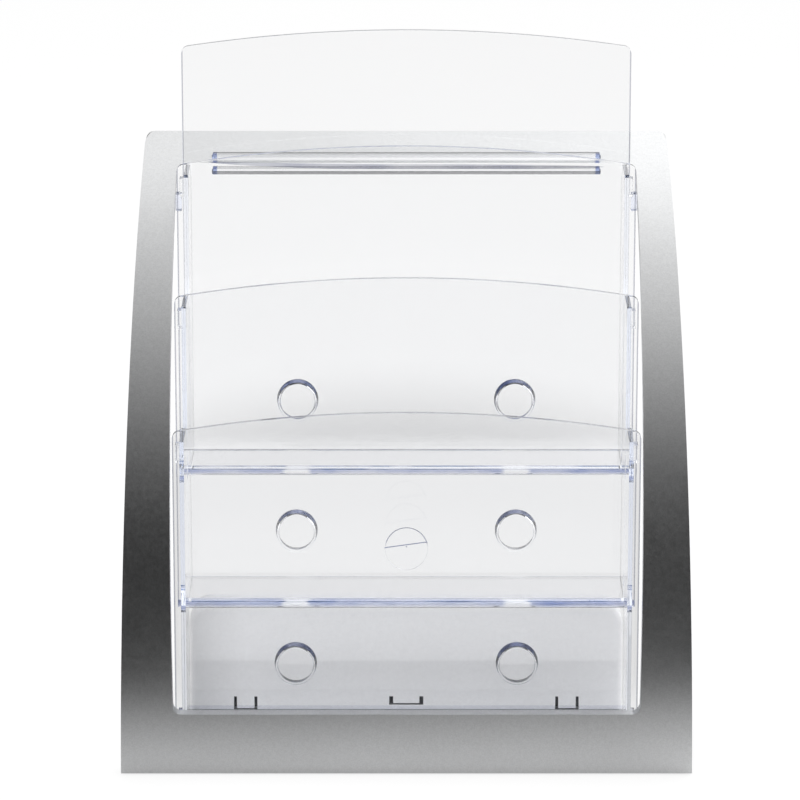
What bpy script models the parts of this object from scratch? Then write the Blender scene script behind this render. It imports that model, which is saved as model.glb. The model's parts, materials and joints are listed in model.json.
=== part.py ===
"""Desktop file sorter: three clear leaning pockets in a curved silver surround.

Metres, +Z up, +Y to the rear, x = 0 on the centre line, z = 0 on the desk top.
The clear panels and the riser are modelled upright and sheared back by LEAN, so
floors and top edges stay level. Y_SHIFT then centres the whole object on y = 0.
"""
import bpy
import bmesh
from math import pi, sin, cos, tan, radians, sqrt, asin, atan2
from mathutils import Matrix

MM = 0.001

# Shared
GAP = 0.3 * MM                # clearance between neighbouring pieces
WALL = 2.2 * MM               # wall of the clear mouldings
LEAN = radians(10.2)
CUT_PAST = 5.0 * MM           # how far a cutter runs past an open underside
THROUGH = 400 * MM            # half depth of outlines that cut right through
ARC_STEPS = 40
CROWN_STEPS = 28
ROUND_STEPS = 5
RISER_ROUND_STEPS = 8

# Curved surround
FRAME_WIDTH = 285.8 * MM      # on the desk
FRAME_NARROWING = 0.05        # loss of width per unit of height
FRAME_TOP = 281.0 * MM
FRAME_RADIUS = 308.0 * MM     # the side profile is one circular arc
FRAME_SKIN = 2.5 * MM
FRAME_RIM = 9.0 * MM          # depth of the outer rim
FRAME_LIP = 5.0 * MM          # depth of the rim round the opening
FRAME_CORNER = 5.0 * MM
FRAME_SPAN = FRAME_WIDTH / 2 + 20 * MM    # half width of the untrimmed band
REAR_CUT = 8.0 * MM           # how far the cutters run past the rear of the rim
LIP_ZONE = FRAME_SKIN + 1.5 * MM
LIP_ANGLES_IN = (0.03, 0.02)  # radians the lip trim stays clear of the bottom and top
OPENING_HALF = 115.9 * MM     # half width on the desk line
OPENING_WIDENING = 0.01       # gain of half width per unit of height
OPENING_BOTTOM = 32.0 * MM
OPENING_TOP = 270.2 * MM
OPENING_CORNER = 4.0 * MM

# Pockets
TIER_RISE = 57.0 * MM         # from one pocket up to the next
TIER_SETBACK = 39.6 * MM      # from one pocket back to the next
POCKET_Y = 19.6 * MM          # front bottom edge of the lowest pocket
POCKET_Z = 9.2 * MM
PANEL_HALF = 116.5 * MM
PANEL_CORNER_Z = 155.4 * MM   # height of the panel corners above the floor
PANEL_CROWN = 9.6 * MM        # rise of the arched top above the corners
PANEL_ROUND = 4.0 * MM
SIDE_HALF = 113.0 * MM        # outer face of the side walls
SIDE_HEIGHT = 150.0 * MM
SIDE_START = 0.6 * MM         # the side walls start inside the front panel
SIDE_CHAMFER = 8.0 * MM
DEPTH = TIER_SETBACK - TIER_RISE * tan(LEAN)   # panel plane to panel plane
SKIRT = 1.6 * MM              # the upper panels hang this far below their floor
BACK_HEIGHT = TIER_RISE - GAP - SKIRT
NOTCH_DEPTH = 4.0 * MM
NOTCH_HEIGHT = WALL + 1 * MM
OPEN_REAR = DEPTH + 9 * MM    # rear of the cutter for a pocket without a back
INNER_TOP = 300 * MM          # top of the inner cutter, above every side wall

HOOK_OUT = 2.4 * MM
HOOK_SUNK = 0.5 * MM
HOOK_Y = (6.0 * MM, 11.0 * MM)
HOOK_HEIGHTS = ((0.0, 11.5 * MM), (SIDE_HEIGHT - 12 * MM, SIDE_HEIGHT - 3 * MM))

DISC_RADIUS = 10.6 * MM       # thin disc on the rear face of the lowest panel
DISC_Z = 96.4 * MM
DISC_THICK = 0.3 * MM

BOSS_X = 56.6 * MM
BOSS_Z = 26.4 * MM
BOSS_RADIUS = 11.0 * MM
BOSS_TIP_RADIUS = 10.1 * MM
BOSS_OUT = 3.4 * MM
BOSS_WALL = 1.0 * MM

# Header panel
HEADER_Y = POCKET_Y + 2 * TIER_SETBACK + DEPTH
HEADER_Z = POCKET_Z + 2 * TIER_RISE
HEADER_HALF = 115.3 * MM
HEADER_CORNER_Z = 206.9 * MM  # corners above the top pocket's floor level
HEADER_CROWN = 8.5 * MM
RIB_HALF = 100.0 * MM
RIB_THICK = 2.5 * MM
# (height above the mouldings' underside, depth behind the panel)
RIBS = ((272.6 * MM, 5.6 * MM), (265.4 * MM, 6.0 * MM))

# Base plate and feet
BASE_HALF = 112.0 * MM
BASE_FRONT = 12.0 * MM
BASE_REAR = 150.0 * MM
BASE_TOP = 8.9 * MM
BASE_SKIN = 2.5 * MM
BASE_ROUND = 9.0 * MM
TONGUE_HALF = BASE_HALF - 6 * MM
TONGUE_FRONT = 3.1 * MM
TONGUE_Z = (FRAME_SKIN + 0.5 * MM, BASE_TOP - 0.4 * MM)
PAD_RADIUS = 8.5 * MM
PAD_HEIGHT = BASE_TOP - 1 * MM - GAP
FOOT_THICK = 1.2 * MM         # rubber foot below the mouldings
FOOT_RADIUS = 6.5 * MM
FOOT_TAPER = 0.4 * MM
FOOT_X = BASE_HALF - 14 * MM
FOOT_INSET_Y = 13 * MM
ROUND_SEGMENTS = 32
BOSS_SEGMENTS = 40

# Riser
RISER_HALF = 111.0 * MM
RISER_TOP = 65.9 * MM
RISER_WALL = 2.0 * MM
RISER_DEPTH = 8.0 * MM
RISER_CORNER = 12.0 * MM
RISER_ROUND = 3.0 * MM        # rounding of its front rim
SLOT_FOOT = 0.8 * MM          # height of the bottom line of each U
SLOT_HALF_CUT = 3.0 * MM
# U-shaped slots: centre x, width, height, bottom z, width of the legs
SLOTS = (
    (-82.5 * MM, 12.0 * MM, 6.9 * MM, 1.0 * MM, 1.5 * MM),
    (82.5 * MM, 12.0 * MM, 6.9 * MM, 1.0 * MM, 1.5 * MM),
    (0.0, 17.5 * MM, 4.4 * MM, 3.6 * MM, 2.0 * MM),
)

# Side clips
CLIP_WIDTH = 3.2 * MM
CLIP_HALF_DEPTH = 3.0 * MM
CLIP_HEIGHT = 9.0 * MM
CLIP_Z = 255.5 * MM
CLIP_BEHIND = 4.5 * MM        # clip centre behind the surround's front face
CLIP_BEVEL = 0.6 * MM

FRAME_TOP_ANGLE = asin(FRAME_TOP / FRAME_RADIUS)
Y_SHIFT = -(FRAME_RADIUS - (FRAME_RADIUS - FRAME_RIM) * cos(FRAME_TOP_ANGLE)) / 2


# ---------------------------------------------------------------- solids
def object_from(bm):
    """Turn a bmesh into an object that is not yet in the scene."""
    mesh = bpy.data.meshes.new("part")
    bm.to_mesh(mesh)
    bm.free()
    return bpy.data.objects.new("part", mesh)


def clean(mesh):
    bm = bmesh.new()
    bm.from_mesh(mesh)
    bmesh.ops.remove_doubles(bm, verts=bm.verts, dist=1e-6)
    bmesh.ops.recalc_face_normals(bm, faces=bm.faces)
    bm.to_mesh(mesh)
    bm.free()


# Axes of an outline and its extrusion, turned from (x, y, z)
PLANES = {
    'xy': Matrix.Identity(4),
    'xz': Matrix(((1, 0, 0, 0), (0, 0, 1, 0), (0, 1, 0, 0), (0, 0, 0, 1))),
    'yz': Matrix(((0, 0, 1, 0), (1, 0, 0, 0), (0, 1, 0, 0), (0, 0, 0, 1))),
}


def prism(points, half_depth, plane='xz'):
    """Closed outline in the given plane, extruded both ways by half_depth."""
    curve = bpy.data.curves.new("outline", 'CURVE')
    curve.dimensions = '2D'
    curve.fill_mode = 'BOTH'
    curve.extrude = half_depth
    spline = curve.splines.new('POLY')
    spline.points.add(len(points) - 1)
    for point, (across, up) in zip(spline.points, points):
        point.co = (across, up, 0.0, 1.0)
    spline.use_cyclic_u = True
    holder = bpy.data.objects.new("outline", curve)
    bpy.context.scene.collection.objects.link(holder)
    bpy.context.view_layer.update()
    mesh = bpy.data.meshes.new_from_object(holder)
    bpy.data.objects.remove(holder, do_unlink=True)
    bpy.data.curves.remove(curve)
    mesh.transform(PLANES[plane])
    clean(mesh)
    return bpy.data.objects.new("part", mesh)


def box(*spans):
    """Box from its (low, high) spans in x, y and z."""
    bm = bmesh.new()
    bmesh.ops.create_cube(bm, size=1.0)
    for vert in bm.verts:
        for axis, (low, high) in enumerate(spans):
            vert.co[axis] = low + (vert.co[axis] + 0.5) * (high - low)
    return object_from(bm)


def cone_z(radius_low, radius_high, height, segments=ROUND_SEGMENTS):
    bm = bmesh.new()
    bmesh.ops.create_cone(bm, cap_ends=True, segments=segments, radius1=radius_low,
                          radius2=radius_high, depth=height)
    return object_from(bm)


def cone_y(x, z, radius_front, radius_back, y_front, y_back):
    cone = cone_z(radius_front, radius_back, y_back - y_front, BOSS_SEGMENTS)
    cone.data.transform(Matrix.Translation((x, (y_front + y_back) / 2, z)) @
                        Matrix.Rotation(-pi / 2, 4, 'X'))
    clean(cone.data)
    return cone


def move(ob, *offset):
    ob.data.transform(Matrix.Translation(offset))


def link_to_scene(ob):
    if ob.name not in bpy.context.scene.objects:
        bpy.context.scene.collection.objects.link(ob)


def apply_modifiers(ob):
    bpy.context.view_layer.update()
    depsgraph = bpy.context.evaluated_depsgraph_get()
    mesh = bpy.data.meshes.new_from_object(ob.evaluated_get(depsgraph))
    ob.modifiers.clear()
    old = ob.data
    ob.data = mesh
    bpy.data.meshes.remove(old)


def boolean(ob, other, operation):
    """Change ob by other, and use other up."""
    link_to_scene(ob)
    link_to_scene(other)
    modifier = ob.modifiers.new("bool", 'BOOLEAN')
    modifier.operation = operation
    modifier.solver = 'EXACT'
    modifier.object = other
    apply_modifiers(ob)
    bpy.data.objects.remove(other, do_unlink=True)


def join(ob, other):
    boolean(ob, other, 'UNION')


def cut(ob, other):
    boolean(ob, other, 'DIFFERENCE')


def keep_inside(ob, other):
    boolean(ob, other, 'INTERSECT')


def shear(ob):
    """Lean back about the line y = 0, z = 0."""
    matrix = Matrix.Identity(4)
    matrix[1][2] = tan(LEAN)
    ob.data.transform(matrix)


def tidy_mesh(mesh):
    """Merge coplanar faces and split the many-sided ones."""
    bm = bmesh.new()
    bm.from_mesh(mesh)
    bmesh.ops.remove_doubles(bm, verts=bm.verts, dist=2e-6)
    bmesh.ops.dissolve_limit(bm, angle_limit=radians(0.3), verts=bm.verts, edges=bm.edges)
    bmesh.ops.triangulate(bm, faces=[f for f in bm.faces if len(f.verts) > 4])
    bmesh.ops.recalc_face_normals(bm, faces=bm.faces)
    bm.to_mesh(mesh)
    bm.free()


def finish(ob, name, mat, x=0.0, y=0.0, z=FOOT_THICK, tidy=True):
    """Name, place and shade a piece, and move it to the product's collection."""
    if ob.name in bpy.context.scene.collection.objects:
        bpy.context.scene.collection.objects.unlink(ob)
    if tidy:
        tidy_mesh(ob.data)
    ob.name = name
    ob.data.name = name
    ob.location = (x, y + Y_SHIFT, z)
    ob.data.materials.clear()
    ob.data.materials.append(mat)
    product.objects.link(ob)
    ob.data.shade_smooth()
    ob.data.set_sharp_from_angle(angle=radians(28))


# -------------------------------------------------------------- outlines
def arc(centre_a, centre_b, radius, start, end, steps=ROUND_STEPS):
    return [(centre_a + radius * cos(start + (end - start) * i / steps),
             centre_b + radius * sin(start + (end - start) * i / steps))
            for i in range(steps + 1)]


def rounded_outline(half_low, half_high, low, high, radius):
    """Four rounded corners; the half width may differ between low and high."""
    points = arc(half_low - radius, low + radius, radius, -pi / 2, 0.0)
    points += arc(half_high - radius, high - radius, radius, 0.0, pi / 2)
    points += arc(-(half_high - radius), high - radius, radius, pi / 2, pi)
    points += arc(-(half_low - radius), low + radius, radius, pi, 1.5 * pi)
    return points


def arched_outline(half, corner_z, crown, bottom=0.0):
    """Flat bottom, straight sides, rounded corners and a shallow arched top."""
    radius = (half * half + crown * crown) / (2 * crown)
    centre_z = corner_z + crown - radius
    # each corner round touches both the side line and the arched top
    corner_x = half - PANEL_ROUND
    round_z = centre_z + sqrt((radius - PANEL_ROUND) ** 2 - corner_x * corner_x)
    right = atan2(round_z - centre_z, corner_x)
    left = pi - right
    points = [(-half, bottom), (half, bottom)]
    points += arc(corner_x, round_z, PANEL_ROUND, 0.0, right)
    points += arc(0.0, centre_z, radius, right, left, CROWN_STEPS)[1:-1]
    points += arc(-corner_x, round_z, PANEL_ROUND, left, pi)
    return points


def frame_outline(inset):
    """Tapered outline of the surround, moved inwards by inset."""
    half = FRAME_WIDTH / 2 - inset
    top = FRAME_TOP - inset
    radius = FRAME_CORNER - inset
    slope = FRAME_NARROWING / 2
    corner_x = half - slope * top - radius
    tilt = asin(slope)
    foot_x = half - slope * inset
    points = [(-foot_x, inset), (foot_x, inset)]
    points += arc(corner_x, top - radius, radius, tilt, pi / 2)
    points += arc(-corner_x, top - radius, radius, pi / 2, pi - tilt)
    return points


def opening_outline(grow):
    return rounded_outline(OPENING_HALF + OPENING_WIDENING * OPENING_BOTTOM + grow,
                           OPENING_HALF + OPENING_WIDENING * OPENING_TOP + grow,
                           OPENING_BOTTOM - grow, OPENING_TOP + grow,
                           OPENING_CORNER + grow)


def frame_band(front_depth, rear_depth, start, end):
    """Solid band between two depths behind the surround's front face, ends radial."""
    angles = [start + (end - start) * i / ARC_STEPS for i in range(ARC_STEPS + 1)]
    points = []
    for depth, order in ((front_depth, angles), (rear_depth, angles[::-1])):
        radius = FRAME_RADIUS - depth
        points += [(FRAME_RADIUS - radius * cos(a), radius * sin(a)) for a in order]
    return prism(points, FRAME_SPAN, 'yz')


def riser_outline(inset, bottom):
    half = RISER_HALF - inset
    top = RISER_TOP - POCKET_Z - inset
    radius = RISER_CORNER - inset
    points = [(-half, bottom), (half, bottom)]
    points += arc(half - radius, top - radius, radius, 0.0, pi / 2, RISER_ROUND_STEPS)
    points += arc(-(half - radius), top - radius, radius, pi / 2, pi, RISER_ROUND_STEPS)
    return points


# ---------------------------------------------------------------- pieces
def build_frame(mat):
    frame = frame_band(0.0, FRAME_RIM, 0.0, FRAME_TOP_ANGLE)
    keep_inside(frame, prism(frame_outline(0.0), THROUGH))
    cut(frame, prism(opening_outline(0.0), THROUGH))

    # channel behind the skin, all round between the outer rim and the lip
    skin_angle = FRAME_SKIN / FRAME_RADIUS
    hollow = frame_band(FRAME_SKIN, FRAME_RIM + REAR_CUT,
                        skin_angle, FRAME_TOP_ANGLE - skin_angle)
    keep_inside(hollow, prism(frame_outline(FRAME_SKIN), THROUGH))
    cut(hollow, prism(opening_outline(FRAME_SKIN), THROUGH))
    cut(frame, hollow)

    # the lip round the opening is shallower than the outer rim
    from_bottom, from_top = LIP_ANGLES_IN
    trim = frame_band(FRAME_LIP, FRAME_RIM + REAR_CUT,
                      from_bottom, FRAME_TOP_ANGLE - from_top)
    keep_inside(trim, prism(opening_outline(LIP_ZONE), THROUGH))
    cut(frame, trim)
    finish(frame, "front_frame", mat)


def base_slab(inset, bottom, top):
    half = BASE_HALF - inset
    points = rounded_outline(half, half, BASE_FRONT + inset, BASE_REAR - inset,
                             BASE_ROUND - inset)
    slab = prism(points, (top - bottom) / 2, 'xy')
    move(slab, 0, 0, (bottom + top) / 2)
    return slab


def build_base_and_feet(base_mat, foot_mat):
    feet = [(f"foot_{row}_{side}", x, y)
            for side, x in (("left", -FOOT_X), ("right", FOOT_X))
            for row, y in (("front", BASE_FRONT + FOOT_INSET_Y),
                           ("rear", BASE_REAR - FOOT_INSET_Y))]

    base = base_slab(0.0, GAP, BASE_TOP)
    cut(base, base_slab(BASE_SKIN, -CUT_PAST, BASE_TOP - BASE_SKIN))
    # front tongue that reaches into the channel behind the surround's bottom bar
    join(base, box((-TONGUE_HALF, TONGUE_HALF),
                   (TONGUE_FRONT, BASE_FRONT + BASE_SKIN / 2), TONGUE_Z))
    for _, x, y in feet:
        pad = cone_z(PAD_RADIUS, PAD_RADIUS, PAD_HEIGHT)
        move(pad, x, y, GAP + PAD_HEIGHT / 2)
        join(base, pad)
    finish(base, "base_plate", base_mat)

    for name, x, y in feet:
        foot = cone_z(FOOT_RADIUS - FOOT_TAPER, FOOT_RADIUS, FOOT_THICK)
        finish(foot, name, foot_mat, x, y, FOOT_THICK / 2)


def round_front_rim(mesh):
    """Bevel the front edges, all but the one along the bottom."""
    bm = bmesh.new()
    bm.from_mesh(mesh)
    bmesh.ops.dissolve_limit(bm, angle_limit=radians(0.3), verts=bm.verts, edges=bm.edges)
    front = min(v.co.y for v in bm.verts)
    rim = [e for e in bm.edges if all(abs(v.co.y - front) < 1e-6 for v in e.verts)
           and not all(v.co.z < 1e-6 for v in e.verts)]
    bmesh.ops.bevel(bm, geom=rim, offset=RISER_ROUND, segments=4, profile=0.5,
                    affect='EDGES')
    bm.to_mesh(mesh)
    bm.free()


def build_riser(mat):
    """Shallow housing behind the lowest pocket, open underneath."""
    riser = prism(riser_outline(0.0, 0.0), RISER_DEPTH / 2)
    round_front_rim(riser.data)
    cut(riser, prism(riser_outline(RISER_WALL, -CUT_PAST), RISER_DEPTH / 2 - RISER_WALL))
    move(riser, 0, RISER_DEPTH / 2, 0)
    # each U-shaped cut through the front wall frees a small tongue
    for x, width, height, bottom, leg in SLOTS:
        left, right, top = x - width / 2, x + width / 2, bottom + height
        foot_top = bottom + SLOT_FOOT
        cut(riser, prism([(left, bottom), (right, bottom), (right, top),
                          (right - leg, top), (right - leg, foot_top),
                          (left + leg, foot_top), (left + leg, top), (left, top)],
                         SLOT_HALF_CUT))
    shear(riser)
    finish(riser, "riser_plate", mat, y=POCKET_Y + DEPTH + WALL + GAP,
           z=POCKET_Z + FOOT_THICK)


def clear_panel(*outline_sizes):
    """Arched panel with its front face on y = 0."""
    panel = prism(arched_outline(*outline_sizes), WALL / 2)
    move(panel, 0, WALL / 2, 0)
    return panel


def add_bosses(ob, wall_y):
    """Two shallow round cups on a wall, standing forward of it and open at the rear."""
    for x in (-BOSS_X, BOSS_X):
        join(ob, cone_y(x, BOSS_Z, BOSS_TIP_RADIUS, BOSS_RADIUS,
                        wall_y - BOSS_OUT, wall_y + WALL / 2))
        cut(ob, cone_y(x, BOSS_Z, BOSS_TIP_RADIUS - BOSS_WALL, BOSS_RADIUS - BOSS_WALL,
                       wall_y - BOSS_OUT + BOSS_WALL, wall_y + WALL + 1 * MM))


def pocket_tray(with_back):
    """Floor and side walls, with a low back wall if asked."""
    rear = DEPTH - GAP
    if with_back:
        low_rear, step_z, inner_rear = DEPTH + WALL, BACK_HEIGHT, DEPTH
    else:
        # the floor stops short, clear of the header panel's bosses
        low_rear, step_z, inner_rear = DEPTH - NOTCH_DEPTH, NOTCH_HEIGHT, OPEN_REAR
    profile = [(SIDE_START, 0.0), (low_rear, 0.0), (low_rear, step_z), (rear, step_z),
               (rear, SIDE_HEIGHT - SIDE_CHAMFER), (rear - SIDE_CHAMFER, SIDE_HEIGHT),
               (SIDE_START, SIDE_HEIGHT)]
    tray = prism(profile, SIDE_HALF, 'yz')
    cut(tray, box((-(SIDE_HALF - WALL), SIDE_HALF - WALL), (WALL, inner_rear),
                  (WALL, INNER_TOP)))
    return tray


def build_pocket(name, tier, mat, with_back=True, disc=False):
    pocket = clear_panel(PANEL_HALF, PANEL_CORNER_Z, PANEL_CROWN, -SKIRT if tier else 0.0)
    join(pocket, pocket_tray(with_back))
    if with_back:
        add_bosses(pocket, DEPTH)
    # small blocks low and high on the outside of each side wall
    for side in (-1, 1):
        for heights in HOOK_HEIGHTS:
            span = sorted((side * (SIDE_HALF - HOOK_SUNK), side * (SIDE_HALF + HOOK_OUT)))
            join(pocket, box(span, HOOK_Y, heights))
    if disc:
        join(pocket, cone_y(0.0, DISC_Z, DISC_RADIUS, DISC_RADIUS,
                            WALL / 2, WALL + DISC_THICK))
    shear(pocket)
    finish(pocket, name, mat, y=POCKET_Y + tier * TIER_SETBACK,
           z=POCKET_Z + tier * TIER_RISE + FOOT_THICK)


def build_header(mat):
    """Tall panel behind the top pocket, with two ribs across its rear face."""
    header = clear_panel(HEADER_HALF, HEADER_CORNER_Z, HEADER_CROWN)
    for rib_z, rib_depth in RIBS:
        bottom = rib_z - HEADER_Z
        join(header, box((-RIB_HALF, RIB_HALF), (WALL / 2, WALL + rib_depth),
                         (bottom, bottom + RIB_THICK)))
    add_bosses(header, 0.0)
    shear(header)
    finish(header, "header_panel", mat, y=HEADER_Y, z=HEADER_Z + FOOT_THICK)


def build_clips(mat):
    """Small blocks just inside the opening's side edges, near the top."""
    outer = OPENING_HALF + OPENING_WIDENING * CLIP_Z - GAP
    front_y = FRAME_RADIUS - sqrt(FRAME_RADIUS ** 2 - CLIP_Z ** 2)
    for side, name in ((-1, "side_clip_left"), (1, "side_clip_right")):
        clip = box(sorted((side * outer, side * (outer - CLIP_WIDTH))),
                   (-CLIP_HALF_DEPTH, CLIP_HALF_DEPTH),
                   (-CLIP_HEIGHT / 2, CLIP_HEIGHT / 2))
        bevel = clip.modifiers.new("bevel", 'BEVEL')
        bevel.width = CLIP_BEVEL
        bevel.segments = 2
        link_to_scene(clip)
        apply_modifiers(clip)
        finish(clip, name, mat, y=front_y + CLIP_BEHIND, z=CLIP_Z + FOOT_THICK, tidy=False)


def material(name, colour, roughness, metallic=0.0, alpha=1.0, transmission=0.0):
    mat = bpy.data.materials.new(name)
    mat.use_nodes = True
    inputs = mat.node_tree.nodes["Principled BSDF"].inputs
    inputs["Base Color"].default_value = (*colour, 1.0)
    inputs["Roughness"].default_value = roughness
    inputs["Metallic"].default_value = metallic
    inputs["Alpha"].default_value = alpha
    inputs["Transmission Weight"].default_value = transmission
    mat.diffuse_color = (*colour, alpha)
    return mat


def clear_pocket_material(name):
    return material(name, colour=(0.90, 0.93, 0.97), roughness=0.06, alpha=0.35,
                    transmission=0.9)


# -------------------------------------------------------------- assembly
for old_object in list(bpy.data.objects):
    bpy.data.objects.remove(old_object, do_unlink=True)

product = bpy.data.collections.new("desktop_file_sorter")
bpy.context.scene.collection.children.link(product)

build_frame(material("silver_satin", colour=(0.62, 0.63, 0.64), roughness=0.38,
                     metallic=0.85))
build_base_and_feet(
    material("silver_base", colour=(0.60, 0.61, 0.62), roughness=0.42, metallic=0.8),
    material("rubber_foot", colour=(0.06, 0.06, 0.065), roughness=0.8))
build_riser(material("silver_riser", colour=(0.66, 0.67, 0.68), roughness=0.40,
                     metallic=0.8))
build_pocket("pocket_lower", 0, clear_pocket_material("clear_lower"), disc=True)
build_pocket("pocket_middle", 1, clear_pocket_material("clear_middle"))
build_pocket("pocket_upper", 2, clear_pocket_material("clear_upper"), with_back=False)
build_header(material("clear_header", colour=(0.92, 0.94, 0.97), roughness=0.06,
                      alpha=0.35, transmission=0.9))
build_clips(material("clear_clip", colour=(0.80, 0.84, 0.92), roughness=0.12,
                     alpha=0.5, transmission=0.7))
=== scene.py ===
import bpy
import bmesh
import json
from math import pi, sin, cos, tan, radians, sqrt, asin, atan2
from mathutils import Matrix, Vector
from mathutils.bvhtree import BVHTree


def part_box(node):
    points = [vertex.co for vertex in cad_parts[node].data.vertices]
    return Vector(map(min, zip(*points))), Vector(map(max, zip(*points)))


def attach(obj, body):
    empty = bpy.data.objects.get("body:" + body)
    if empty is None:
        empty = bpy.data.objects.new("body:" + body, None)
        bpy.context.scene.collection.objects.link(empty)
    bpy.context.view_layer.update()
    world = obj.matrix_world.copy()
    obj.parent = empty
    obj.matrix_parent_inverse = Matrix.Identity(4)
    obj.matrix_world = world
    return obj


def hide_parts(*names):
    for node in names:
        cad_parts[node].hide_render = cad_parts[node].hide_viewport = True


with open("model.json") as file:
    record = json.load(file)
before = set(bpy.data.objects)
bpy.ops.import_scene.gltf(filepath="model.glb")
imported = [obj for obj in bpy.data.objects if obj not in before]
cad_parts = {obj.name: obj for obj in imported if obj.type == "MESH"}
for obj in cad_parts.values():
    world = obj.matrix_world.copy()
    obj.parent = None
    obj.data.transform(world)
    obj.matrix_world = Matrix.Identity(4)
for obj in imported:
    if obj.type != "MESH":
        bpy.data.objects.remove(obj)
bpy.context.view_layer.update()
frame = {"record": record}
rec = frame["record"]

MM = 0.001

# ------------------------------------------------------------- shape constants
FOOT_T = 1.2 * MM
FR_WIDTH, FR_NARROW, FR_TOP = 285.8 * MM, 0.0500, 281.0 * MM
FR_RADIUS, FR_SKIN, FR_RIM, FR_LIP, FR_CORNER = 308.0 * MM, 2.5 * MM, 9.0 * MM, 5.0 * MM, 5.0 * MM
OP_HALF, OP_WIDEN, OP_BOTTOM, OP_TOP, OP_CORNER = 115.9 * MM, 0.0100, 32.0 * MM, 270.2 * MM, 4.0 * MM
LEAN = radians(10.2)
TIER_H, TIER_D, P_Y, P_Z = 57.0 * MM, 39.6 * MM, 19.6 * MM, 9.2 * MM
WALL, PANEL_HALF, PANEL_CORNER, PANEL_CROWN, PANEL_R = 2.2 * MM, 116.5 * MM, 155.4 * MM, 9.6 * MM, 4.0 * MM
SIDE_HALF, SIDE_H, GAP = 113.0 * MM, 150.0 * MM, 0.3 * MM
DEPTH = TIER_D - TIER_H * tan(LEAN)
SKIRT = 1.6 * MM
BACK_H = TIER_H - GAP - SKIRT
BOSS_X, BOSS_Z, BOSS_R, BOSS_R_TIP, BOSS_OUT, BOSS_WALL = 56.6 * MM, 26.4 * MM, 11.0 * MM, 10.1 * MM, 3.4 * MM, 1.0 * MM
HOOK_OUT = 2.4 * MM
NOTCH_DEEP = 4.0 * MM
GATE_R, GATE_Z, GATE_T = 10.6 * MM, 96.4 * MM, 0.3 * MM
HEAD_HALF, HEAD_CORNER, HEAD_CROWN = 115.3 * MM, 206.9 * MM, 8.5 * MM
RIB_HALF, RIB_T, RIB_Z_UP, RIB_Z_LOW = 100.0 * MM, 2.5 * MM, 272.6 * MM, 265.4 * MM
RIB_DEPTH_UP, RIB_DEPTH_LOW = 5.6 * MM, 6.0 * MM
RISER_HALF, RISER_TOP, RISER_T, RISER_R, RISER_ROUND = 111.0 * MM, 65.9 * MM, 2.0 * MM, 12.0 * MM, 3.0 * MM
RISER_DEEP = 8.0 * MM
SLOT_X, SLOT_W, SLOT_H, SLOT_Z, SLOT_LINE = 82.5 * MM, 12.0 * MM, 6.9 * MM, 1.0 * MM, 1.5 * MM
SLOT_FOOT = 0.8 * MM
MID_SLOT_W, MID_SLOT_H, MID_SLOT_Z = 17.5 * MM, 4.4 * MM, 3.6 * MM
CLIP_W, CLIP_H = 3.2 * MM, 9.0 * MM
A_TOP = asin(FR_TOP / FR_RADIUS)
Y_SHIFT = -(FR_RADIUS - (FR_RADIUS - FR_RIM) * cos(A_TOP)) / 2

ARC_STEPS = 120
CROWN_STEPS = 72
ROUND_STEPS = 10

scene = bpy.context.scene


# ----------------------------------------------------------------- geometry kit
def clean(me, dist=1e-6):
    bm = bmesh.new()
    bm.from_mesh(me)
    bmesh.ops.remove_doubles(bm, verts=bm.verts, dist=dist)
    bmesh.ops.recalc_face_normals(bm, faces=bm.faces)
    bm.to_mesh(me)
    bm.free()


def prism(name, points, depth, plane):
    cu = bpy.data.curves.new(name, 'CURVE')
    cu.dimensions = '2D'
    cu.fill_mode = 'BOTH'
    cu.extrude = depth
    sp = cu.splines.new('POLY')
    sp.points.add(len(points) - 1)
    for p, (a, b) in zip(sp.points, points):
        p.co = (a, b, 0.0, 1.0)
    sp.use_cyclic_u = True
    tmp = bpy.data.objects.new(name + "_curve", cu)
    scene.collection.objects.link(tmp)
    bpy.context.view_layer.update()
    me = bpy.data.meshes.new_from_object(tmp)
    bpy.data.objects.remove(tmp, do_unlink=True)
    bpy.data.curves.remove(cu)
    if plane == 'xz':
        me.transform(Matrix(((1, 0, 0, 0), (0, 0, 1, 0), (0, 1, 0, 0), (0, 0, 0, 1))))
    elif plane == 'yz':
        me.transform(Matrix(((0, 0, 1, 0), (1, 0, 0, 0), (0, 1, 0, 0), (0, 0, 0, 1))))
    clean(me)
    return bpy.data.objects.new(name, me)


def box(name, x0, x1, y0, y1, z0, z1):
    bm = bmesh.new()
    bmesh.ops.create_cube(bm, size=1.0)
    for v in bm.verts:
        v.co.x = x0 + (v.co.x + 0.5) * (x1 - x0)
        v.co.y = y0 + (v.co.y + 0.5) * (y1 - y0)
        v.co.z = z0 + (v.co.z + 0.5) * (z1 - z0)
    me = bpy.data.meshes.new(name)
    bm.to_mesh(me)
    bm.free()
    return bpy.data.objects.new(name, me)


def cone_y(name, x, z, r_front, r_back, y_front, y_back, seg=96):
    bm = bmesh.new()
    bmesh.ops.create_cone(bm, cap_ends=True, segments=seg, radius1=r_front,
                          radius2=r_back, depth=abs(y_back - y_front))
    me = bpy.data.meshes.new(name)
    bm.to_mesh(me)
    bm.free()
    me.transform(Matrix.Translation((x, (y_front + y_back) / 2, z)) @
                 Matrix.Rotation(-pi / 2, 4, 'X'))
    clean(me)
    return bpy.data.objects.new(name, me)


def cone_z(name, x, y, r_low, r_high, z0, z1, seg=72):
    bm = bmesh.new()
    bmesh.ops.create_cone(bm, cap_ends=True, segments=seg, radius1=r_low,
                          radius2=r_high, depth=z1 - z0)
    me = bpy.data.meshes.new(name)
    bm.to_mesh(me)
    bm.free()
    me.transform(Matrix.Translation((x, y, (z0 + z1) / 2)))
    return bpy.data.objects.new(name, me)


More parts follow.
